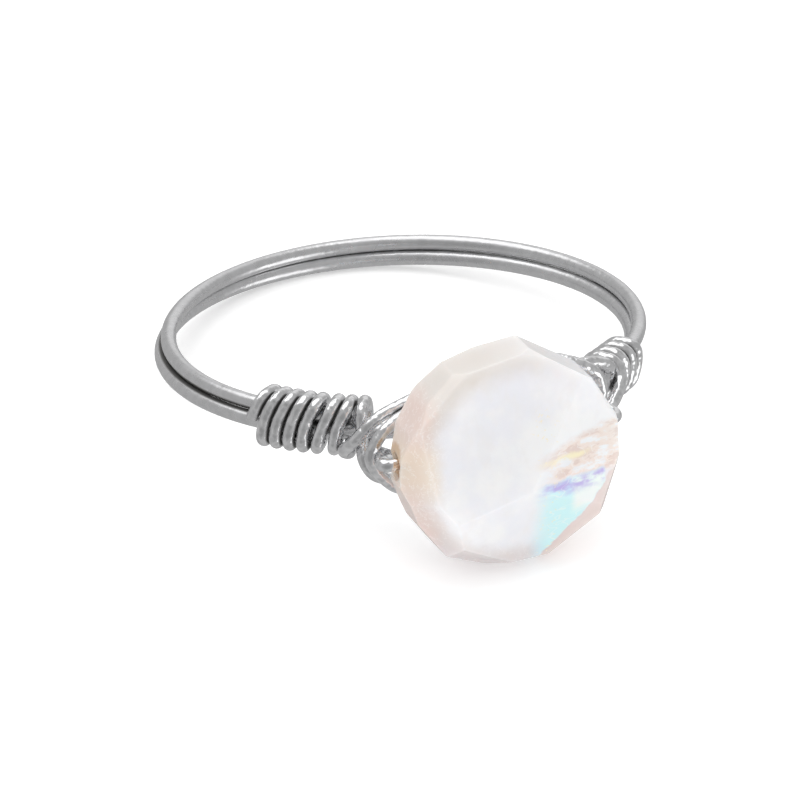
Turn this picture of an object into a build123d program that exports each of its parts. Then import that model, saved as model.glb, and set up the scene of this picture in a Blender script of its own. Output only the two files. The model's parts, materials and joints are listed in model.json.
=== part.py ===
from build123d import *
from math import asin, atan2, cos, degrees, hypot, radians, sin, sqrt, tan
import os

os.makedirs("parts", exist_ok=True)

# A wire-wrapped ring lying on its side: two rounds of a thick wire make the band,
# a thinner wire binds them and carries one drilled, faceted moonstone bead.
# Lengths are in millimetres. Until the last step the finger axis is Z,
# the middle of the band is the origin and the bead lies toward -Y.

# Wires and band
finger_hole = 18.1      # inside diameter of the band
band_wire = 0.62
binding_wire = 0.49
clearance = 0.03        # between wires that lie against each other
round_shift = 0.145     # each round of the band sits this far to its own side

# Bead
bead_width = 8.95
bead_height = 8.6
bead_depth = 4.2
bead_standoff = 0.48    # from the band to the flat back of the bead
bead_drop = 0.5         # its middle hangs this far below the middle of the band
drill_gap = 0.24        # round the wire in the drilled hole
drill_back = 0.35       # the hole lies this far behind the middle of the bead
drill_raise = 0.35      # and this far above it
drill_slope = 2.4       # degrees, the hole rises toward +X
mouth_width = 1.28      # chipped mouths of the hole
mouth_depth = 0.21

# Coils at the ends of the binding wire
left_turns = 7
right_turns = 4
left_spacing = 0.06     # between turns beside the bead at the left
right_spacing = 0.07
left_slack = 0.12       # the first two turns at the left stand a little apart

# What follows from them
band_r = finger_hole / 2 + band_wire / 2
rise = (band_wire + clearance) / 2
layer = binding_wire + clearance
wrap = band_wire / 2 + binding_wire / 2 + clearance + 0.35 * round_shift
top = rise + band_wire / 2 + binding_wire / 2 + clearance
half = bead_width / 2
high = bead_height / 2
deep = bead_depth / 2
side_turn = degrees(asin(half / band_r))
one_layer = degrees(layer / band_r)

# The bead's flats: direction round the bead from +X through +Z, lean back from the
# front, and distance from its middle as a share of the bead's own half size there
flats = [
    (90, 13.2, 0.758),      # table
    (5, 18, 0.803),         # right pane
    (-67.8, 21.8, 0.879),   # low pane that flashes blue
    (90, 180, 0.929),       # flat back
    (180, 90, 1.017), (164, 90, 1.009), (148, 90, 1.008), (130, 90, 1.011),     # rim
    (100, 90, 0.973), (58, 90, 0.965), (31, 90, 0.975), (0, 90, 0.983),
    (-21, 90, 0.995), (-56, 90, 0.930), (-90, 90, 0.988), (-111, 90, 1.020),
    (-144, 90, 1.008), (-158, 90, 0.998),
    (180, 57.8, 1.028), (-148, 57, 1.030), (-105, 53, 1.044), (-20, 58, 1.016),     # crown
    (25, 58, 1.018), (75, 62, 1.055), (125, 62, 1.045),
    (0, 146, 1.045), (180, 146, 1.045), (90, 146, 1.139), (-90, 146, 1.139),        # underside
    (30, 146, 1.106), (60, 146, 1.106), (120, 146, 1.106), (150, 146, 1.106),
    (-30, 146, 1.106), (-60, 146, 1.106), (-120, 146, 1.106), (-150, 146, 1.106),
]
back_share = 0.929
bead_y = -(band_r + band_wire / 2 + bead_standoff + back_share * deep)
drill_y = bead_y + drill_back
drill_z = drill_raise - bead_drop
drill_width = binding_wire + 2 * drill_gap


# Where a wire can be told to pass

def on_band(side, along, out, up):
    """A point beside the band, in layers of wire past the bead's edge, then outward and up."""
    lean = round_shift * max(-1.5, min(1.5, up / rise))
    turn = radians(side_turn + along * one_layer)
    return (lean + side * (band_r + out) * sin(turn), -(band_r + out) * cos(turn), up)


def by_bead(side, past, out, up):
    """A point near the bead's edge, in layers of wire past it, out from the band and up."""
    return (side * (half + past * layer), -(band_r + out * layer), up * layer)


def behind_bead(out, up):
    """A point behind the middle of the bead, in layers of wire out from the band and up."""
    return (0, -(band_r + out * layer), up * layer)


def in_hole(side, past):
    """A point on the line of the drilled hole, in layers of wire past the bead's edge."""
    x = side * (half + past * layer)
    return (x, drill_y, drill_z + x * tan(radians(drill_slope)))


# Wires

def bent(points, share=0.45):
    """Straight runs through the points, joined by arcs as large as the runs allow."""
    places = [Vector(*p) for p in points]
    radii = []
    for before, corner, after in zip(places, places[1:], places[2:]):
        half_turn = radians((corner - before).get_angle(after - corner)) / 2
        run = min((corner - before).length, (after - corner).length)
        radii.append(share * run / tan(half_turn))
    return FilletPolyline(*places, radius=radii)


def wire(path, width):
    """A round wire swept along a path."""
    return sweep(Plane(origin=path @ 0, z_dir=path % 0) * Circle(width / 2), path=path)


# Where the coils begin, and how much of a turn's advance is done where it passes the front,
# the inside, over or under to the other side, the front again and the middle of the front
left_first = 0.73
right_first = 2.20
left_corners = (0.00, 0.20, 0.61, 0.61, 1.06)
right_corners = (0.00, 0.00, 0.66, 1.46, 1.80)


def coil(side, first, turns, spacing, corners, slack=0):
    """Turns round both wires of the band; the left coil starts below, the right one above."""
    pitch = (binding_wire + spacing) / layer
    points = []
    for i in range(turns):
        start = first + i * pitch + (slack / layer if i > 1 else 0)
        for share, out, up in zip(corners, (1, -1, -1, 1, 1.08), (1, 1, -1, -1, 0)):
            points.append(on_band(side, start + share * pitch, out * wrap, side * up * top))
    return points


def left_tail():
    """From the middle of the hole out at the left, round the band and both posts, to a coil."""
    return [
        in_hole(-1, 0.55),
        by_bead(-1, 0.92, 4.22, -0.70),     # the left post turns back close to the bead
        by_bead(-1, 0.92, 3.68, -0.76),
        by_bead(-1, -1.1, 1.77, -1.35),
        on_band(-1, -1.12, 0.5 * wrap, -top),       # hook: under, inside, over and down
        on_band(-1, -0.45, -wrap, -top),
        on_band(-1, 0.35, -wrap, top),
        on_band(-1, 0.40, wrap, top),
        on_band(-1, -0.30, wrap, -0.44 * top),
        on_band(-1, -0.45, wrap + 0.8 * layer, -top - 0.15 * layer),
        by_bead(-1, 0.28, 0.17, -3.20),     # low, behind the bead
        by_bead(-1, -1.9, 0.12, -4.0),
        behind_bead(0.17, -2.69),
        by_bead(1, -2.45, 0.94, -1.96),
        by_bead(1, -0.62, 1.52, -0.86),     # round the right post
        by_bead(1, 0.57, 1.61, 0.86),
        by_bead(1, 0.05, 1.71, 2.79),
        by_bead(1, -1.45, 1.71, 3.75),
        by_bead(1, -3.4, 0.81, 4.25),       # high, behind the bead
        behind_bead(0.27, 3.94),
        by_bead(-1, -2.84, 0.0, 2.31),
        by_bead(-1, -0.05, 0.27, 1.45),
        on_band(-1, 0.16, wrap + 1.6 * layer, -0.05 * top),     # over the hook
        on_band(-1, 0.95, wrap + 0.72 * layer, -0.75 * top),
        on_band(-1, 0.56, wrap, -top),
    ] + coil(-1, left_first, left_turns, left_spacing, left_corners, left_slack)[1:]


def right_tail():
    """The same from the other side, with its hook and coil turned the other way."""
    end = right_first + (right_turns - 1) * (binding_wire + right_spacing) / layer
    return [
        in_hole(1, 0.18),
        by_bead(1, 0.55, 4.22, 0.12),       # the right post turns back hidden by the bead
        by_bead(1, 0.55, 3.62, 0.20),
        by_bead(1, -1.2, 1.77, 0.96),
        on_band(1, -0.11, 0.5 * wrap, top),     # hook: over, inside, under and up
        on_band(1, 0.39, -wrap, top),
        on_band(1, 1.25, -wrap, -top),
        on_band(1, 1.70, wrap, -top),
        on_band(1, 1.45, wrap, 0.44 * top),
        on_band(1, 0.55, wrap + 0.92 * layer, top + 0.46 * layer),
        by_bead(1, 0.34, -0.02, 3.02),      # high, behind the bead
        by_bead(1, -2.07, 0.12, 2.80),
        behind_bead(0.75, 2.73),
        by_bead(-1, -2.07, 1.04, 1.81),
        by_bead(-1, 0.14, 1.81, 0.81),      # round the left post
        by_bead(-1, 1.2, 1.90, -0.96),
        by_bead(-1, 0.55, 1.90, -2.21),
        by_bead(-1, -0.91, 1.77, -3.81),
        by_bead(-1, -3.22, 0.81, -4.58),    # low, behind the bead
        behind_bead(0.58, -3.94),
        by_bead(1, -2.84, 0.27, -3.12),
        by_bead(1, 0.30, 0.94, -1.60),
        on_band(1, 1.26, wrap + 1.6 * layer, -0.30 * top),
        on_band(1, 2.50, wrap + 0.6 * layer, 0.33 * top),
    ] + coil(1, right_first, right_turns, right_spacing, right_corners)[:-4] + [
        on_band(1, end + 0.05, -0.43 * wrap, top),      # ends pressed against the inside
        on_band(1, end + 0.20, -1.10 * wrap, rise + 0.33 * wrap),
    ]


def binding_points():
    """The whole binding wire, from the end of the left coil to the end of the right one."""
    return left_tail()[::-1] + right_tail()


def band_points():
    """Nearly two rounds; both ends are inside the coils, and it climbs behind the bead."""
    start = side_turn + (right_first + 0.6) * one_layer
    finish = 720 - side_turn - (left_first + 1.3) * one_layer
    climb = side_turn + 0.75 * one_layer
    corners = 43
    step = (finish - start) / corners
    points = []
    for i in range(-1, corners + 1):
        middle = start + (i + 0.5) * step
        turn = min(max(middle, start), finish)
        reach = band_r if turn != middle else band_r / cos(radians(step / 2))
        level = max(-1, min(1, (turn - 360) / climb))
        x = reach * sin(radians(turn)) + level * round_shift
        points.append((x, -reach * cos(radians(turn)), level * rise))
    return points


# Bead

def bead():
    """The faceted bead with its drilled hole and the two chipped mouths."""
    middle = Vector(0, bead_y, -bead_drop)
    stone = Pos(*middle) * Box(2 * bead_width, 2 * bead_depth, 2 * bead_height)
    for around, lean, share in flats:
        a, t = radians(around), radians(lean)
        facing = Vector(sin(t) * cos(a), -cos(t), sin(t) * sin(a))
        reach = share * sqrt((half * facing.X) ** 2 + (deep * facing.Y) ** 2 + (high * facing.Z) ** 2)
        stone = split(stone, Plane(origin=middle + facing * reach, z_dir=facing), keep=Keep.BOTTOM)
    left, right = Vector(*in_hole(-1, 0)), Vector(*in_hole(1, 0))
    drill = Plane(origin=(left + right) / 2, z_dir=right - left)
    stone -= drill * Cylinder(drill_width / 2, 2 * bead_width)
    for side, rim in ((-1, 1.017), (1, 0.983)):
        mouth = drill * Pos(0, 0, side * (rim * half - mouth_depth / 2))
        flare = Cone(drill_width / 2, mouth_width - drill_width / 2, 2 * mouth_depth)
        stone -= mouth * Rot(0, 90 - 90 * side, 0) * Pos(0, 0, mouth_depth / 2) * flare
    return stone


def rest_tilt(stone):
    """The tilt at which the back of the band and the bead's low edge touch the floor together."""
    tilts = []
    for corner in stone.vertices():
        across = band_r - corner.Y
        down = corner.Z + rise
        if across > band_r:
            tilts.append(-asin(band_wire / 2 / hypot(across, down)) - atan2(down, across))
    return max(tilts)


stone = bead()
pieces = {
    "band_wire": wire(bent(band_points(), 0.485), band_wire),
    "binding_wire": wire(bent(binding_points()), binding_wire),
    "moonstone_bead": stone,
}

# The ring leans back on the band with the bead on the floor, its box centred on the origin
tilt = rest_tilt(stone)
lift = band_r * sin(tilt) + rise * cos(tilt) + band_wire / 2
laid = {name: Pos(0, 0, lift) * Rot(-degrees(tilt), 0, 0) * piece for name, piece in pieces.items()}
box = Compound(list(laid.values())).bounding_box()
for name, piece in laid.items():
    placed = Pos(-(box.min.X + box.max.X) / 2, -(box.min.Y + box.max.Y) / 2, 0) * piece
    export_step(placed, f"parts/{name}.step")
    print(name, len(placed.solids()), "solid,", round(placed.volume, 3), "mm3")
print("tilt", round(degrees(tilt), 2), "degrees, size", box.size)
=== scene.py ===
from math import asin, ceil, cos, degrees, pi, radians, sin, sqrt, tan
import json

import bmesh
import bpy
from mathutils import Matrix, Vector, kdtree, noise


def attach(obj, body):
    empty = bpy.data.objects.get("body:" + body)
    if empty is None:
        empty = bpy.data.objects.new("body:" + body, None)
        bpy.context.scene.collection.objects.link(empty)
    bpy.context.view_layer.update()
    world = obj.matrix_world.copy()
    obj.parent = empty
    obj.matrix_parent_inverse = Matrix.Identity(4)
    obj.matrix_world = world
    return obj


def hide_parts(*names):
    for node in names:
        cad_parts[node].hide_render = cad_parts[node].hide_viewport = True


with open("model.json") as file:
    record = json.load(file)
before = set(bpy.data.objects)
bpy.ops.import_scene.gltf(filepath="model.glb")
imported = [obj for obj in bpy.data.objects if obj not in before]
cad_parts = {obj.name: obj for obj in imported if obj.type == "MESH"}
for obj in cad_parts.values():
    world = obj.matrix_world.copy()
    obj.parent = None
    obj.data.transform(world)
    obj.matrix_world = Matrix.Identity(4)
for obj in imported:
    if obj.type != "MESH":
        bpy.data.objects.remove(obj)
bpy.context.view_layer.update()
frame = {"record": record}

# How the ring lies
# It rests on its side, leaning back on the far side of the band with the bead on the floor.
# Its pieces are laid out round the finger axis, Z, with the bead toward -Y, in metres, and
# each is then set down here.
finger_mount = frame["record"]["mounts"][0]
lean_back = Vector((0, 0, 1)).rotation_difference(Vector(finger_mount["axis"]))
ring_place = Matrix.Translation(finger_mount["pos_m"]) @ lean_back.to_matrix().to_4x4()


# Band
# Two rounds of one thick drawn silver wire, bent on a mandrel and laid one above the other.
# It climbs from the lower round to the upper one behind the bead, and the binding wire
# covers both of its ends.
finger_hole = 0.0181
band_wire = 0.00062
wire_gap = 0.00003          # between wires that lie against each other
round_shift = 0.000145      # each round sits this far to its own side
band_r = finger_hole / 2 + band_wire / 2
rise = (band_wire + wire_gap) / 2
pressed_share = 0.4         # of that gap is closed by each round, pressing on the other
corners = 43                # where the straight runs of its two rounds meet, before bending
end_rim = 0.00003           # length of the eased edge at a wire's end
end_share = 0.84            # and how wide the wire still is there

# Where it climbs and ends follows from the bead and the binding
bead_width = 0.00895
binding_wire = 0.00049
half = bead_width / 2
layer = binding_wire + wire_gap
side_turn = degrees(asin(half / band_r))
one_layer = degrees(layer / band_r)
left_first = 0.73           # where the coils begin, in layers of wire past the bead's edge
right_first = 2.20
left_hidden = 1.3           # and how many layers past that the band's ends lie, inside them
right_hidden = 0.6
climb_reach = 0.75          # layers of wire past the bead's edge where the climb ends

# The band's silver is set darker than the binding's as painted shade, for its dimmer reflections
shaded_band_tone = (0.80, 0.80, 0.81, 1)
# The colour of real tarnish and of painted shade, both laid in the recesses between strands
shade_and_tarnish = (0.05, 0.048, 0.045, 1)
inside_share = 0.3          # of the tarnish and painted shade stays on the inside of the ring,
middle_share = 0.75         # this much at the middle of the band's wire,
outward_share = 3           # and this much more for each width of that wire further out


def bent(points, share, arc_step):
    """Places and headings along straight runs, joined by arcs as large as the runs allow."""
    places = [Vector(p) for p in points]
    line = [(places[0], (places[1] - places[0]).normalized())]
    for before, corner, after in zip(places, places[1:], places[2:]):
        into, away = corner - before, after - corner
        reach = share * min(into.length, away.length)
        turn = into.angle(away)
        ahead = into.normalized()
        inward = (away - away.project(into)).normalized()
        radius = reach / tan(turn / 2)
        start = corner - reach * ahead
        steps = max(2, ceil(degrees(turn) / arc_step))
        for i in range(steps + 1):
            a = turn * i / steps
            place = start + radius * (sin(a) * ahead + (1 - cos(a)) * inward)
            line.append((place, cos(a) * ahead + sin(a) * inward))
    line.append((places[-1], (places[-1] - places[-2]).normalized()))
    return line


def drawn_wire(name, line, width, sides):
    """A round wire along a line, its ends cut off square and eased. Each point also keeps the
    place that it had on the straight wire, for the fine lines that the drawing leaves on it."""
    (start, start_way), (end, end_way) = line[0], line[-1]
    rounds = [(start, start_way, end_share), (start + end_rim * start_way, start_way, 1)]
    rounds += [(place, way, 1) for place, way in line[1:-1]]
    rounds += [(end - end_rim * end_way, end_way, 1), (end, end_way, end_share)]
    body = bmesh.new()
    straight = body.verts.layers.float_vector.new("drawn")
    heading = start_way
    side = heading.orthogonal().normalized()
    before, along = start, 0
    rings = []
    for place, ahead, size in rounds:
        side.rotate(heading.rotation_difference(ahead))
        heading = ahead
        up = heading.cross(side)
        along += (place - before).length
        before = place
        ring = []
        for i in range(sides):
            a = 2 * pi * i / sides
            across, over = size * width / 2 * cos(a), size * width / 2 * sin(a)
            point = body.verts.new(place + across * side + over * up)
            point[straight] = (along, across, over)
            ring.append(point)
        rings.append(ring)
    for one, other in zip(rings, rings[1:]):
        for i in range(sides):
            j = (i + 1) % sides
            body.faces.new((one[i], one[j], other[j], other[i])).smooth = True
    body.faces.new(rings[0][::-1])
    body.faces.new(rings[-1])
    mesh = bpy.data.meshes.new(name)
    body.to_mesh(mesh)
    body.free()
    return mesh


def node(tree, kind, inputs=(), **settings):
    """A node of a material, with its inputs set or linked."""
    made = tree.nodes.new(kind)
    for key, value in settings.items():
        setattr(made, key, value)
    for key, value in dict(inputs).items():
        if isinstance(value, bpy.types.NodeSocket):
            tree.links.new(value, made.inputs[key])
        else:
            made.inputs[key].default_value = value
    return made


def even_places(line, step):
    """Places at even steps along a line, each with how far along it lies."""
    places, along = [], 0
    for (one, _), (other, _) in zip(line, line[1:]):
        run = (other - one).length
        for i in range(ceil(run / step)):
            places.append((one.lerp(other, i * step / run), along + i * step))
        along += run
    return places


def mark_recess_shade(mesh, strands, depth):
    """Notes at each point of a wire how near another strand lies, from 0 in the open to 1 where
    they touch: how much painted shade and tarnish it gets. Strands are lines with their widths,
    and the first one is the wire's own. The shade and tarnish count for less inside the ring,
    where the finger rubs the tarnish off."""
    step = 0.00012          # between the places on the strands that are compared
    apart = 0.0015          # nearer along the same wire it is no other strand
    places = [(place, along, width / 2, number == 0)
              for number, (line, width) in enumerate(strands)
              for place, along in even_places(line, step)]
    near = kdtree.KDTree(len(places))
    for i, (place, _, _, _) in enumerate(places):
        near.insert(place, i)
    near.balance()
    straight = mesh.attributes["drawn"].data
    recess_shades = []
    for i, point in enumerate(mesh.vertices):
        gap = depth
        for _, found, reach in near.find_range(point.co, depth + band_wire / 2):
            _, along, radius, own = places[found]
            if not own or abs(along - straight[i].vector.x) > apart:
                gap = min(gap, reach - radius)
        outward = (Vector(point.co.xy).length - band_r) / band_wire
        kept = max(inside_share, min(1, middle_share + outward_share * outward))
        recess_shades.append((1 - max(0, gap) / depth) * kept)
    mesh.attributes.new("recess_shade", "FLOAT", "POINT").data.foreach_set("value", recess_shades)


def silver(name, tone, roughness, dents, dent_shade_share):
    """Bright silver wire: fine lines along it from the drawing, small dents from the pliers,
    faint smudges, a few scratches, and painted shade with dark tarnish in the recesses between
    strands. The dents are painted darker as shade, and the metal between them a little lighter;
    the dent share is the share of its tone that is left in the dents."""
    raised_highlight = 1.04           # and between the dents it is painted this much brighter than its tone, a faint highlight
    line_depth = 0.000004
    finish = bpy.data.materials.new(name)
    finish.use_nodes = True
    tree = finish.node_tree
    surface = tree.nodes["Principled BSDF"]
    on_wire = node(tree, "ShaderNodeAttribute", attribute_name="drawn").outputs["Vector"]
    recess_shade = node(tree, "ShaderNodeAttribute", attribute_name="recess_shade").outputs["Fac"]
    in_place = node(tree, "ShaderNodeTexCoord").outputs["Object"]
    drawn = node(tree, "ShaderNodeMapping", {"Vector": on_wire, "Scale": (0.012, 1, 1)})
    lines = node(tree, "ShaderNodeTexNoise",
                 {"Vector": drawn.outputs["Vector"], "Scale": 14000, "Detail": 4,
                  "Roughness": 0.6})
    worn = node(tree, "ShaderNodeMapping",
                {"Vector": in_place, "Rotation": (0.4, 0.9, 0.3), "Scale": (1, 1, 0.08)})
    scratches = node(tree, "ShaderNodeTexNoise",
                     {"Vector": worn.outputs["Vector"], "Scale": 9000, "Detail": 2})
    marks = node(tree, "ShaderNodeMapRange",
                 {"Value": scratches.outputs["Fac"], "From Min": 0.62, "From Max": 0.72})
    smudges = node(tree, "ShaderNodeTexNoise", {"Vector": in_place, "Scale": 900, "Detail": 3})
    pressed = node(tree, "ShaderNodeTexNoise", {"Vector": in_place, "Scale": 3200, "Detail": 1})
    height = node(tree, "ShaderNodeMath",
                  {0: marks.outputs["Result"], 1: -0.8, 2: lines.outputs["Fac"]},
                  operation="MULTIPLY_ADD")
    hollows = node(tree, "ShaderNodeBump",
                   {"Height": pressed.outputs["Fac"], "Strength": 1, "Distance": dents})
    relief = node(tree, "ShaderNodeBump",
                  {"Height": height.outputs["Value"], "Strength": 0.35, "Distance": line_depth,
                   "Normal": hollows.outputs["Normal"]})
    gloss = node(tree, "ShaderNodeMapRange",
                 {"Value": smudges.outputs["Fac"], "From Min": 0.3, "From Max": 0.7,
                  "To Min": roughness * 0.8, "To Max": roughness * 1.35})
    # Painted shade in the dents and a faint painted highlight on the metal between them
    dent_shade_mask = node(tree, "ShaderNodeMapRange",
                  {"Value": pressed.outputs["Fac"], "From Min": 0.36, "From Max": 0.64})
    shade = node(tree, "ShaderNodeMix",
                 {"Factor": dent_shade_mask.outputs["Result"], "A": [dent_shade_share * c for c in tone[:3]] + [1],
                  "B": [min(1, raised_highlight * c) for c in tone[:3]] + [1]},
                 data_type="RGBA")
    # Painted shade with tarnish in the recesses: darker, rougher and less like metal where
    # another strand lies near
    shade_and_tarnish_share = node(tree, "ShaderNodeMapRange",
                  {"Value": recess_shade, "From Min": 0.12, "From Max": 0.55, "To Max": 0.96},
                  interpolation_type="SMOOTHSTEP")
    shaded_and_tarnished = node(tree, "ShaderNodeMix",
                     {"Factor": shade_and_tarnish_share.outputs["Result"], "A": shade.outputs["Result"],
                      "B": shade_and_tarnish},
                     data_type="RGBA")
    metal = node(tree, "ShaderNodeMapRange",
                 {"Value": shade_and_tarnish_share.outputs["Result"], "To Min": 1, "To Max": 0.2})
    matt = node(tree, "ShaderNodeMath",
                {0: shade_and_tarnish_share.outputs["Result"], 1: 0.3, 2: gloss.outputs["Result"]},
                operation="MULTIPLY_ADD")
    tree.links.new(shaded_and_tarnished.outputs["Result"], surface.inputs["Base Color"])
    tree.links.new(metal.outputs["Result"], surface.inputs["Metallic"])
    tree.links.new(matt.outputs["Value"], surface.inputs["Roughness"])
    tree.links.new(relief.outputs["Normal"], surface.inputs["Normal"])
    return finish


def band_points():
    """Nearly two rounds, from inside the right coil to inside the left one. A turn is counted
    in degrees from the middle of the bead. At the sides of the ring the rounds stand aside from
    each other, and sink together until they touch."""
    start = side_turn + (right_first + right_hidden) * one_layer
    finish = 720 - side_turn - (left_first + left_hidden) * one_layer
    climb = side_turn + climb_reach * one_layer
    touching = rise - pressed_share * wire_gap
    step = (finish - start) / corners
    points = []
    for i in range(-1, corners + 1):
        middle = start + (i + 0.5) * step
        turn = min(max(middle, start), finish)
        reach = band_r if turn != middle else band_r / cos(radians(step / 2))
        level = max(-1, min(1, (turn - 360) / climb))
        x = reach * sin(radians(turn)) + level * round_shift
        aside = round_shift * sin(radians(turn))
        points.append((x, -reach * cos(radians(turn)), level * sqrt(touching ** 2 - aside ** 2)))
    return points


band_line = bent(band_points(), share=0.485, arc_step=1.5)
band = bpy.data.objects.new("band", drawn_wire("band", band_line, band_wire, sides=32))
bpy.context.scene.collection.objects.link(band)
mark_recess_shade(band.data, [(band_line, band_wire)], depth=0.00030)
band.data.transform(ring_place)
band.data.materials.append(
    silver("band_silver", shaded_band_tone, roughness=0.25, dents=0.000015, dent_shade_share=0.9655))
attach(band, "root")
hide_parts("band_wire")


# Binding
# One thinner drawn silver wire. It runs through the bead, and each end hooks round the band,
# passes behind the bead, goes round the post at the far side, comes back and ends in a coil
# that grips both rounds of the band.
bead_height = 0.0086
bead_depth = 0.0042
bead_standoff = 0.00048     # from the band to the flat back of the bead
back_share = 0.929          # that back lies at this share of half the bead's depth
bead_drop = 0.0005          # its middle hangs this far below the middle of the band
drill_back = 0.00035        # the hole lies this far behind the middle of the bead
drill_raise = 0.00035       # and this far above it
drill_slope = 2.4           # degrees, and it rises toward +X
high = bead_height / 2
deep = bead_depth / 2
bead_y = -(band_r + band_wire / 2 + bead_standoff + back_share * deep)
drill_y = bead_y + drill_back
drill_z = drill_raise - bead_drop

binding_tone = (0.93, 0.93, 0.94, 1)

left_turns = 7
right_turns = 4
left_spacing = 0.00006
right_spacing = 0.00007
left_slack = 0.00012        # the first two turns at the left stand a little apart
front_bulge = 1.08          # a turn stands out this much further at the middle of its front
most_lean = 1.5             # a turn leans by at most this many times the rounds' shift
shift_share = 0.35          # of that shift is added to how far a turn stands out

# From the middle of the band to the middle of a turn, outward and up
wrap = band_wire / 2 + binding_wire / 2 + wire_gap + shift_share * round_shift
top = rise + band_wire / 2 + binding_wire / 2 + wire_gap

# How much of a turn's advance is done where it passes the front, the inside, over or under to
# the other side, the front again and the middle of the front
left_corners = (0.00, 0.20, 0.61, 0.61, 1.06)
right_corners = (0.00, 0.00, 0.66, 1.46, 1.80)


def on_band(side, along, out, up):
    """A point beside the band, in layers of wire past the bead's edge, then outward and up."""
    lean = round_shift * max(-most_lean, min(most_lean, up / rise))
    turn = radians(side_turn + along * one_layer)
    return (lean + side * (band_r + out) * sin(turn), -(band_r + out) * cos(turn), up)


def by_bead(side, past, out, up):
    """A point near the bead's edge, in layers of wire past it, out from the band and up."""
    return (side * (half + past * layer), -(band_r + out * layer), up * layer)


def behind_bead(out, up):
    """A point behind the middle of the bead, in layers of wire out from the band and up."""
    return (0, -(band_r + out * layer), up * layer)


def in_hole(side, past):
    """A point on the line of the drilled hole, in layers of wire past the bead's edge."""
    x = side * (half + past * layer)
    return (x, drill_y, drill_z + x * tan(radians(drill_slope)))


def coil(side, first, turns, spacing, corners, slack=0):
    """Turns round both wires of the band; the left coil starts below, the right one above."""
    pitch = (binding_wire + spacing) / layer
    points = []
    for i in range(turns):
        start = first + i * pitch + (slack / layer if i > 1 else 0)
        for share, out, up in zip(corners, (1, -1, -1, 1, front_bulge), (1, 1, -1, -1, 0)):
            points.append(on_band(side, start + share * pitch, out * wrap, side * up * top))
    return points


def left_tail():
    """From the middle of the hole out at the left, round the band and both posts, to a coil."""
    return [
        in_hole(-1, 0.55),
        by_bead(-1, 0.92, 4.22, -0.70),     # the left post turns back close to the bead
        by_bead(-1, 0.92, 3.68, -0.76),
        by_bead(-1, -1.1, 1.77, -1.35),
        on_band(-1, -1.12, 0.5 * wrap, -top),       # hook: under, inside, over and down
        on_band(-1, -0.45, -wrap, -top),
        on_band(-1, 0.35, -wrap, top),
        on_band(-1, 0.40, wrap, top),
        on_band(-1, -0.30, wrap, -0.44 * top),
        on_band(-1, -0.45, wrap + 0.8 * layer, -top - 0.15 * layer),
        by_bead(-1, 0.28, 0.17, -3.20),     # low, behind the bead
        by_bead(-1, -1.9, 0.12, -4.0),
        behind_bead(0.17, -2.69),
        by_bead(1, -2.45, 0.94, -1.96),
        by_bead(1, -0.62, 1.52, -0.86),     # round the right post
        by_bead(1, 0.57, 1.61, 0.86),
        by_bead(1, 0.05, 1.71, 2.79),
        by_bead(1, -1.45, 1.71, 3.75),
        by_bead(1, -3.4, 0.81, 4.25),       # high, behind the bead
        behind_bead(0.27, 3.94),
        by_bead(-1, -2.84, 0.0, 2.31),
        by_bead(-1, -0.05, 0.27, 1.45),
        on_band(-1, 0.16, wrap + 1.6 * layer, -0.05 * top),     # over the hook
        on_band(-1, 0.95, wrap + 0.72 * layer, -0.75 * top),
        on_band(-1, 0.56, wrap, -top),
    ] + coil(-1, left_first, left_turns, left_spacing, left_corners, left_slack)[1:]


def right_tail():
    """The same from the other side, with its hook and coil turned the other way."""
    end = right_first + (right_turns - 1) * (binding_wire + right_spacing) / layer
    return [
        in_hole(1, 0.18),
        by_bead(1, 0.55, 4.22, 0.12),       # the right post turns back hidden by the bead
        by_bead(1, 0.55, 3.62, 0.20),
        by_bead(1, -1.2, 1.77, 0.96),
        on_band(1, -0.11, 0.5 * wrap, top),     # hook: over, inside, under and up
        on_band(1, 0.39, -wrap, top),
        on_band(1, 1.25, -wrap, -top),
        on_band(1, 1.70, wrap, -top),
        on_band(1, 1.45, wrap, 0.44 * top),
        on_band(1, 0.55, wrap + 0.92 * layer, top + 0.46 * layer),
        by_bead(1, 0.34, -0.02, 3.02),      # high, behind the bead
        by_bead(1, -2.07, 0.12, 2.80),
        behind_bead(0.75, 2.73),
        by_bead(-1, -2.07, 1.04, 1.81),
        by_bead(-1, 0.14, 1.81, 0.81),      # round the left post
        by_bead(-1, 1.2, 1.90, -0.96),
        by_bead(-1, 0.55, 1.90, -2.21),
        by_bead(-1, -0.91, 1.77, -3.81),
        by_bead(-1, -3.22, 0.81, -4.58),    # low, behind the bead
        behind_bead(0.58, -3.94),
        by_bead(1, -2.84, 0.27, -3.12),
        by_bead(1, 0.30, 0.94, -1.60),
        on_band(1, 1.26, wrap + 1.6 * layer, -0.30 * top),
        on_band(1, 2.50, wrap + 0.6 * layer, 0.33 * top),
    ] + coil(1, right_first, right_turns, right_spacing, right_corners)[:-4] + [
        on_band(1, end + 0.05, -0.43 * wrap, top),      # ends pressed against the inside
        on_band(1, end + 0.20, -1.10 * wrap, rise + 0.33 * wrap),
    ]


binding_line = bent(left_tail()[::-1] + right_tail(), share=0.45, arc_step=5)
binding = bpy.data.objects.new(
    "binding", drawn_wire("binding", binding_line, binding_wire, sides=24))
bpy.context.scene.collection.objects.link(binding)
mark_recess_shade(
    binding.data, [(binding_line, binding_wire), (band_line, band_wire)], depth=0.00020)
binding.data.transform(ring_place)
binding.data.materials.append(
    silver("binding_silver", binding_tone, roughness=0.13, dents=0.00007, dent_shade_share=0.839))
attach(binding, "root")
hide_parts("binding_wire")


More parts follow.
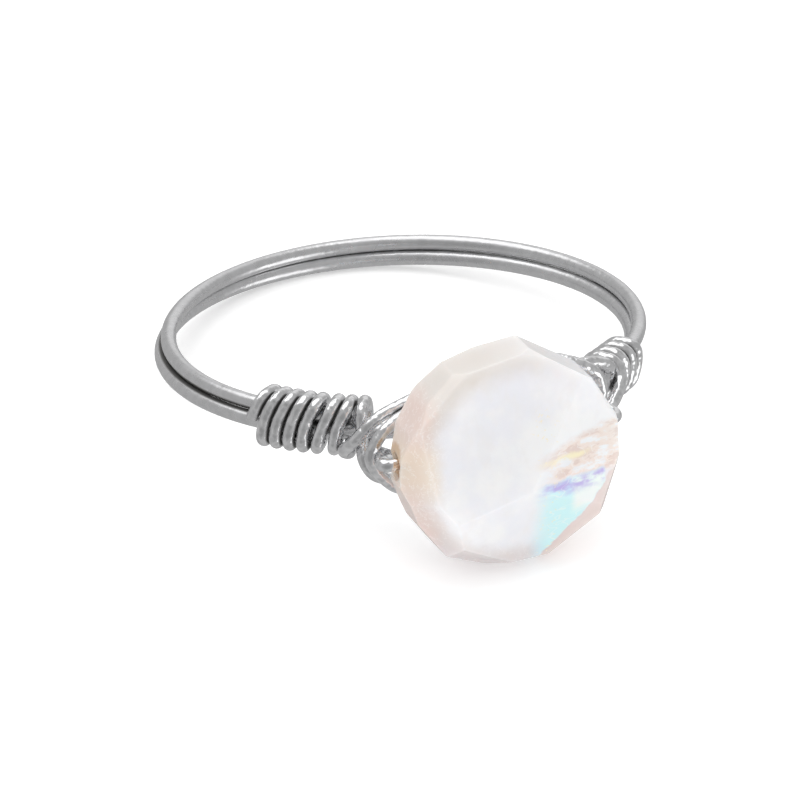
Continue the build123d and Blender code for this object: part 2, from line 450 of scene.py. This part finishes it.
# Bead
# One moonstone, ground flat by flat on a wheel and drilled across for the wire. It is milky
# and cloudy, warm and peach toward its edges, where painted shade darkens the beige, with a
# blue flash painted into its low right pane as a sheen, painted gold glints above it, and
# the drill has chipped both mouths of its hole.
drill_gap = 0.00024
mouth_width = 0.00128
mouth_depth = 0.00021
drill_width = binding_wire + 2 * drill_gap
left_rim = 1.017            # the sides where the hole comes out, in half widths of the bead
right_rim = 0.983
edge_round = 0.00005        # the polish has taken this much off the edges
to_mm = 1000                # the stone is cut and coloured in millimetres, and then reduced
least_edge = 0.13           # in millimetres: shorter edges are drawn together

milk = (0.93, 0.93, 0.95, 1)
cloud_blue = (0.87, 0.875, 0.915, 1)
haze = (0.86, 0.85, 0.85, 1)
# A warm cream for the edges, darkened as painted shade
shaded_cream = (0.72, 0.68, 0.64, 1)
rose = (0.75, 0.61, 0.56, 1)
mauve = (0.72, 0.66, 0.67, 1)
amber = (0.84, 0.71, 0.56, 1)
peach = (0.90, 0.77, 0.70, 1)
# Gold of the painted glints in the right pane
glint_gold = (0.97, 0.87, 0.64, 1)
# Colours of the blue flash, the stone's sheen painted into its colour
sky = (0.66, 0.91, 1.00, 1)
aqua = (0.88, 0.99, 0.96, 1)
violet = (0.55, 0.47, 0.80, 1)
frost = (0.98, 0.98, 0.99, 1)
rust = (0.60, 0.40, 0.26, 1)

# The flats as they are cut: direction round the bead from +X through +Z, lean back from the
# front, and distance from its middle as a share of the bead's own half size there
flats = [
    (90, 13.2, 0.758),      # table
    (5, 18, 0.803),         # right pane
    (-67.8, 21.8, 0.879),   # low pane that flashes blue
    (90, 180, back_share),  # flat back
    (180, 90, left_rim), (164, 90, 1.009), (148, 90, 1.008), (130, 90, 1.011),      # rim
    (100, 90, 0.973), (58, 90, 0.965), (31, 90, 0.975), (0, 90, right_rim),
    (-21, 90, 0.995), (-56, 90, 0.985), (-90, 90, 0.988), (-111, 90, 1.020),
    (-144, 90, 1.008), (-158, 90, 0.998),
    (180, 57.8, 1.028), (-148, 57, 1.030), (-105, 53, 1.044), (-20, 58, 1.016),     # crown
    (25, 58, 1.018), (75, 62, 1.055), (125, 62, 1.045),
    (0, 146, 1.045), (180, 146, 1.045), (90, 146, 1.139), (-90, 146, 1.139),        # underside
    (30, 146, 1.106), (60, 146, 1.106), (120, 146, 1.106), (150, 146, 1.106),
    (-30, 146, 1.106), (-60, 146, 1.106), (-120, 146, 1.106), (-150, 146, 1.106),
]


def cut_stone():
    """A block with one cut for each flat, its edges a little rounded, with its middle at 0."""
    stone = bmesh.new()
    bmesh.ops.create_cube(stone, size=2 * bead_width * to_mm)
    for around, lean, share in flats:
        a, t = radians(around), radians(lean)
        facing = Vector((sin(t) * cos(a), -cos(t), sin(t) * sin(a)))
        reach = share * to_mm * (facing * Vector((half, deep, high))).length
        cut = bmesh.ops.bisect_plane(
            stone, geom=stone.verts[:] + stone.edges[:] + stone.faces[:],
            plane_co=facing * reach, plane_no=facing, clear_outer=True)
        edges = [e for e in cut["geom_cut"] if isinstance(e, bmesh.types.BMEdge)]
        bmesh.ops.contextual_create(stone, geom=edges)
    bmesh.ops.remove_doubles(stone, verts=stone.verts[:], dist=least_edge)
    bmesh.ops.bevel(stone, geom=stone.edges[:], offset=edge_round * to_mm, segments=2,
                    profile=0.5, affect="EDGES", clamp_overlap=True)
    return stone


drill_ends = [Vector(in_hole(side, 0)) - Vector((0, bead_y, -bead_drop)) for side in (-1, 1)]
drill_middle = (drill_ends[0] + drill_ends[1]) / 2
drill_way = (drill_ends[1] - drill_ends[0]).normalized()


def along_drill(past):
    """A place on the drill's line, this far past the stone's middle, facing along the line."""
    place = Matrix.Translation((drill_middle + past * drill_way) * to_mm)
    return place @ drill_way.to_track_quat("Z", "Y").to_matrix().to_4x4()


def drill():
    """What the drill takes out: a straight round hole."""
    tool = bmesh.new()
    radius = drill_width / 2 * to_mm
    bmesh.ops.create_cone(tool, cap_ends=True, segments=32, radius1=radius, radius2=radius,
                          depth=2 * bead_width * to_mm, matrix=along_drill(0))
    return tool


def mouth(side, rim):
    """A ragged bowl where the drill broke out, left rough by large and small chips."""
    bowl = bmesh.new()
    bmesh.ops.create_icosphere(bowl, subdivisions=4, radius=1)
    for point in bowl.verts:
        large = noise.noise(2.1 * point.co + Vector((side, 3, 5)))
        small = noise.noise(5.3 * point.co + Vector((7, side, 2)))
        point.co *= 1 + 0.22 * large + 0.10 * small
    size = (mouth_width / 2 * to_mm, mouth_width / 2 * to_mm, mouth_depth * to_mm, 1)
    bowl.transform(along_drill(side * rim * half) @ Matrix.Diagonal(size))
    return bowl


def as_object(name, body):
    """An object of the scene made from a mesh in the making."""
    mesh = bpy.data.meshes.new(name)
    body.to_mesh(mesh)
    body.free()
    made = bpy.data.objects.new(name, mesh)
    bpy.context.scene.collection.objects.link(made)
    return made


def carve(stone, *tools):
    """The stone with the tools' shapes taken out of it."""
    for tool in tools:
        cut = stone.modifiers.new("cut", "BOOLEAN")
        cut.operation = "DIFFERENCE"
        cut.solver = "EXACT"
        cut.object = tool
    bpy.context.view_layer.update()
    carved = stone.evaluated_get(bpy.context.evaluated_depsgraph_get())
    mesh = bpy.data.meshes.new_from_object(carved)
    stone.modifiers.clear()
    stone.data = mesh
    for tool in tools:
        bpy.data.objects.remove(tool)


bead = as_object("bead", cut_stone())
carve(bead, as_object("drill", drill()), as_object("left_mouth", mouth(-1, left_rim)),
      as_object("right_mouth", mouth(1, right_rim)))
bead.data.transform(Matrix.Scale(1 / to_mm, 4))
bead.data.shade_flat()


def moonstone():
    """Milky polished stone: cloudy inside, beige and pink where it thins out toward its edges,
    the beige darkened with painted shade, with peach streaks and painted gold glints in its
    right pane, and a blue flash below them painted in as a sheen. Its colours are laid out in
    millimetres across and up from the middle of the stone."""
    finish = bpy.data.materials.new("moonstone")
    finish.use_nodes = True
    tree = finish.node_tree
    surface = tree.nodes["Principled BSDF"]

    def noise_at(place, scale, detail, stretch=(1, 1, 1), turn=0, kind="Fac"):
        """Cloudy noise, stretched, and turned round the way that the stone faces."""
        laid = node(tree, "ShaderNodeMapping",
                    {"Vector": place, "Rotation": (0, radians(turn), 0), "Scale": stretch})
        clouded = node(tree, "ShaderNodeTexNoise",
                       {"Vector": laid.outputs["Vector"], "Scale": scale, "Detail": detail,
                        "Roughness": 0.6})
        return clouded.outputs[kind]

    def math(kind, first, *others):
        """The first amount, with each of the others added to it, taken from it and so on."""
        total = first
        for amount in others:
            total = node(tree, "ShaderNodeMath", {0: total, 1: amount},
                         operation=kind).outputs["Value"]
        return total

    def size_of(amount):
        """How far an amount is from nothing, below or above."""
        return math("MAXIMUM", amount, math("MULTIPLY", amount, -1))

    def fade(amount, start, end):
        """From nothing, where an amount is at its start, to all, where it is at its end."""
        return node(tree, "ShaderNodeMapRange",
                    {"Value": amount, "From Min": start, "From Max": end},
                    interpolation_type="SMOOTHSTEP").outputs["Result"]

    def tint(under, over, amount):
        """A colour with some of another one laid over it."""
        return node(tree, "ShaderNodeMix", {"Factor": amount, "A": under, "B": over},
                    data_type="RGBA").outputs["Result"]

    # Places in the stone, shifted to and fro by noise so that no zone has an even bound
    in_stone = node(tree, "ShaderNodeAttribute", attribute_name="in_stone").outputs["Vector"]
    wander = node(tree, "ShaderNodeVectorMath",
                  {0: noise_at(in_stone, 1.3, 5, kind="Color"), 1: (0.5, 0.5, 0.5)},
                  operation="SUBTRACT").outputs["Vector"]
    shifted = node(tree, "ShaderNodeVectorMath", {0: wander, 1: (0.5, 0.5, 0.5), 2: in_stone},
                   operation="MULTIPLY_ADD").outputs["Vector"]
    ways = node(tree, "ShaderNodeSeparateXYZ", {"Vector": shifted})
    across, above = ways.outputs["X"], ways.outputs["Z"]
    streaks = noise_at(in_stone, 2.2, 8, (0.20, 1, 1), -11)
    grains = noise_at(in_stone, 7, 3)

    # The milky body
    clouds = noise_at(in_stone, 0.40, 6)
    wisps = noise_at(in_stone, 1.1, 8, (1, 1, 0.45), 20)
    color = tint(cloud_blue, milk, fade(clouds, 0.38, 0.62))
    color = tint(color, haze, math("MULTIPLY", fade(wisps, 0.50, 0.68), 0.45))

    # The edges, beige all round but least at the right, the beige darkened as painted shade so
    # that the bevels facing up are no brighter than the table, and pinker low down and at the
    # left
    edge = math("ADD", math("POWER", math("DIVIDE", across, 4.5), 2),
                math("POWER", math("DIVIDE", above, 4.3), 2))
    beige_and_shade = math("MULTIPLY", fade(edge, 0.50, 0.95), fade(across, 4.5, -1.5), 0.9)
    outer = fade(edge, 0.55, 1.0)
    low = fade(above, 0.5, -3.6)
    left = fade(across, -2.9, -3.7)
    by_hole = math("MULTIPLY", left, fade(above, -1.2, 0.1), fade(above, 1.9, 0.7))
    color = tint(color, shaded_cream, beige_and_shade)
    color = tint(color, mauve, math("MULTIPLY", low, outer, 0.8))
    color = tint(color, rose, math("MULTIPLY", left, outer, 0.75))
    color = tint(color, amber, math("MULTIPLY", by_hole, 0.5))

    # Fine crazing in the left and low flanks
    crazing = noise_at(in_stone, 2.2, 3)
    crazed = fade(size_of(math("SUBTRACT", crazing, 0.52)), 0.020, 0.004)
    low_flank = math("MULTIPLY", fade(above, -2.6, -3.4), 0.6)
    flank = math("MAXIMUM", fade(across, -2.7, -3.4), low_flank)
    color = tint(color, frost, math("MULTIPLY", crazed, flank, 0.3))

    # The right pane: peach and rosy streaks under a bound that rises to the right, and a painted
    # gold glint along one line
    bound = math("SUBTRACT", above, math("MULTIPLY", across, 0.22))
    pane = math("MULTIPLY", fade(across, 0.2, 2.2), fade(above, -1.3, -0.7),
                fade(bound, 0.35, -0.15))
    painted_gleam = math("MULTIPLY", pane, fade(above, -0.20, -0.02), fade(above, 0.20, 0.02),
                 fade(across, 3.3, 2.5))
    color = tint(color, peach, math("MULTIPLY", pane, fade(streaks, 0.42, 0.52), 0.85))
    color = tint(color, rose, math("MULTIPLY", pane, fade(streaks, 0.54, 0.60), 0.7))
    color = tint(color, glint_gold, math("MULTIPLY", painted_gleam, fade(streaks, 0.38, 0.5)))

    # The blue flash, the stone's sheen painted into its colour, cut off by a slanting bound:
    # violet on top, and greener further in
    slant = math("SUBTRACT", math("MULTIPLY", across, 0.72), math("MULTIPLY", above, 0.70))
    flash_sheen = math("MULTIPLY", fade(across, 0.2, 1.4), fade(slant, 3.70, 3.58),
                 fade(above, -0.75, -1.05), fade(across, 3.75, 3.6))
    past_flash = math("MULTIPLY", fade(slant, 3.58, 3.70), fade(above, -0.9, -1.2))
    inner = math("MULTIPLY", flash_sheen, fade(across, 1.9, 2.4), fade(above, -2.6, -2.0))
    upper = math("MULTIPLY", flash_sheen, fade(above, -1.65, -1.15))
    color = tint(color, rose, math("MULTIPLY", past_flash, 0.6))
    color = tint(color, sky, flash_sheen)
    color = tint(color, aqua, inner)
    color = tint(color, violet, math("MULTIPLY", upper, fade(streaks, 0.35, 0.6)))

    # Cracks through the pane and the flash, and painted gold glints, sparks, along the ridge at
    # their left
    shards = noise_at(in_stone, 1.3, 2, (0.5, 1, 1), 35)
    cracks = fade(size_of(math("SUBTRACT", shards, 0.5)), 0.016, 0.003)
    painted_sparks = math("MULTIPLY", fade(grains, 0.62, 0.68), fade(across, 0.3, 1.0),
                  fade(across, 1.9, 1.3), fade(above, 2.3, 1.9))
    color = tint(color, frost, math("MULTIPLY", math("MAXIMUM", pane, flash_sheen), cracks, 0.35))
    color = tint(color, glint_gold, math("MULTIPLY", painted_sparks, 0.8))

    # Rust in the chipped mouths of the hole
    there = node(tree, "ShaderNodeSeparateXYZ", {"Vector": in_stone})
    behind_hole = math("SUBTRACT", there.outputs["Y"], to_mm * drill_middle.y)
    above_hole = math("SUBTRACT", there.outputs["Z"], to_mm * drill_middle.z)
    from_hole = math("ADD", math("POWER", behind_hole, 2), math("POWER", above_hole, 2),
                     math("MULTIPLY", grains, 0.3))
    outside = fade(size_of(across), 4.0, 4.25)
    color = tint(color, rust, math("MULTIPLY", fade(from_hole, 0.78, 0.5), outside, 0.8))

    # The polish, over fine pits and the grain of the streaks
    pits = noise_at(in_stone, 2.4, 6)
    relief = node(tree, "ShaderNodeBump",
                  {"Height": math("ADD", pits, math("MULTIPLY", streaks, pane)),
                   "Strength": 0.25, "Distance": 0.00003})
    tree.links.new(color, surface.inputs["Base Color"])
    tree.links.new(relief.outputs["Normal"], surface.inputs["Normal"])
    surface.inputs["Roughness"].default_value = 0.16
    surface.inputs["IOR"].default_value = 1.52
    surface.inputs["Subsurface Weight"].default_value = 0.9
    surface.inputs["Subsurface Radius"].default_value = (1, 0.9, 0.85)
    surface.inputs["Subsurface Scale"].default_value = 0.0014
    return finish


where = bead.data.attributes.new("in_stone", "FLOAT_VECTOR", "POINT")
where.data.foreach_set("vector", [c for v in bead.data.vertices for c in to_mm * v.co])
bead.data.transform(ring_place @ Matrix.Translation((0, bead_y, -bead_drop)))
bead.data.materials.clear()
bead.data.materials.append(moonstone())
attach(bead, "root")
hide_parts("moonstone_bead")


# Floor
# A wide sheet of matt white acrylic, lit a little from below. It isn't seen in the silver,
# whose reflections come from the pale room round it.
floor_reach = 3
sheet = bmesh.new()
bmesh.ops.create_grid(sheet, x_segments=1, y_segments=1, size=floor_reach)
floor = as_object("floor", sheet)
floor.visible_glossy = False
acrylic = bpy.data.materials.new("white_acrylic")
acrylic.use_nodes = True
matt = acrylic.node_tree.nodes["Principled BSDF"].inputs
matt["Base Color"].default_value = (0.9, 0.9, 0.9, 1)
matt["Roughness"].default_value = 0.8
matt["Emission Color"].default_value = (1, 1, 1, 1)
matt["Emission Strength"].default_value = 0.30
floor.data.materials.append(acrylic)


# Light
# Soft studio light: a grey room with pale panels round the table, which are what the silver
# reflects, and three soft lights that it doesn't show: one wide above, and two fainter ones in
# front and at the right.
room_tone = 0.44

# The panels: where each lies, half its width and how soft its edge is, in degrees, and how
# much brighter than the room it is
panels = [
    ((-0.15, 0.40, 0.90), 30, 16, 0.95),    # wide softbox above and behind
    ((0.55, 0.75, 0.30), 20, 30, 0.30),     # pale wall behind, to the right
    ((-0.60, -0.72, 0.22), 30, 40, -0.12),  # dim side of the room, in front, to the left
    ((0.62, -0.74, -0.25), 20, 12, 0.95),   # lit table in front, to the right
]

# The lights: where each hangs, how wide it is and its power
lights = {
    "softbox": ((-0.10, 0.08, 0.6), 1.2, 2.4),
    "fill": ((-0.20, -0.55, 0.25), 0.8, 0.9),
    "side": ((0.50, 0.20, 0.40), 0.6, 0.6),
}

room = bpy.data.worlds.new("room")
room.use_nodes = True
walls = room.node_tree
towards = node(walls, "ShaderNodeTexCoord").outputs["Generated"]
glow = room_tone
for direction, reach, soft, bright in panels:
    facing = node(walls, "ShaderNodeVectorMath",
                  {0: towards, 1: Vector(direction).normalized()}, operation="DOT_PRODUCT")
    lit = node(walls, "ShaderNodeMapRange",
               {"Value": facing.outputs["Value"], "From Min": cos(radians(reach + soft / 2)),
                "From Max": cos(radians(max(0, reach - soft / 2))), "To Max": bright},
               interpolation_type="SMOOTHSTEP")
    glow = node(walls, "ShaderNodeMath", {0: glow, 1: lit.outputs["Result"]},
                operation="ADD").outputs["Value"]
walls.links.new(glow, walls.nodes["Background"].inputs["Strength"])
walls.nodes["Background"].inputs["Color"].default_value = (1, 1, 1, 1)
bpy.context.scene.world = room
bpy.context.scene.view_settings.view_transform = "Standard"


def soft_light(name, place, width, power):
    """A round soft light that looks at the ring and isn't itself seen in the silver."""
    lamp = bpy.data.lights.new(name, "AREA")
    lamp.shape = "DISK"
    lamp.size = width
    lamp.energy = power
    hung = bpy.data.objects.new(name, lamp)
    bpy.context.scene.collection.objects.link(hung)
    hung.location = place
    hung.rotation_euler = hung.location.to_track_quat("Z", "Y").to_euler()
    hung.visible_glossy = False


for name, (place, width, power) in lights.items():
    soft_light(name, place, width, power)


# Camera
# It looks down on the ring from the front left, as in the photograph, through a long lens.
camera_turn = -21.26        # round the ring, degrees from straight in front
camera_height = 32.95       # degrees above the floor
camera_roll = 2.34          # degrees
camera_distance = 0.4
camera_aim = (-0.000413, 0.001124, 0.000329)
camera_lens = 452           # millimetres

turn, height, roll = radians(camera_turn), radians(camera_height), radians(camera_roll)
back = Vector((sin(turn) * cos(height), -cos(turn) * cos(height), sin(height)))
level = Vector((0, 0, 1)).cross(back).normalized()
over = back.cross(level)
right = cos(roll) * level + sin(roll) * over
up = back.cross(right)
camera = bpy.data.objects.new("camera", bpy.data.cameras.new("camera"))
bpy.context.scene.collection.objects.link(camera)
turned = Matrix((right, up, back)).transposed().to_4x4()
camera.matrix_world = Matrix.Translation(Vector(camera_aim) + camera_distance * back) @ turned
camera.data.lens = camera_lens
camera.data.clip_start = 0.01
camera.data.clip_end = 10
bpy.context.scene.camera = camera
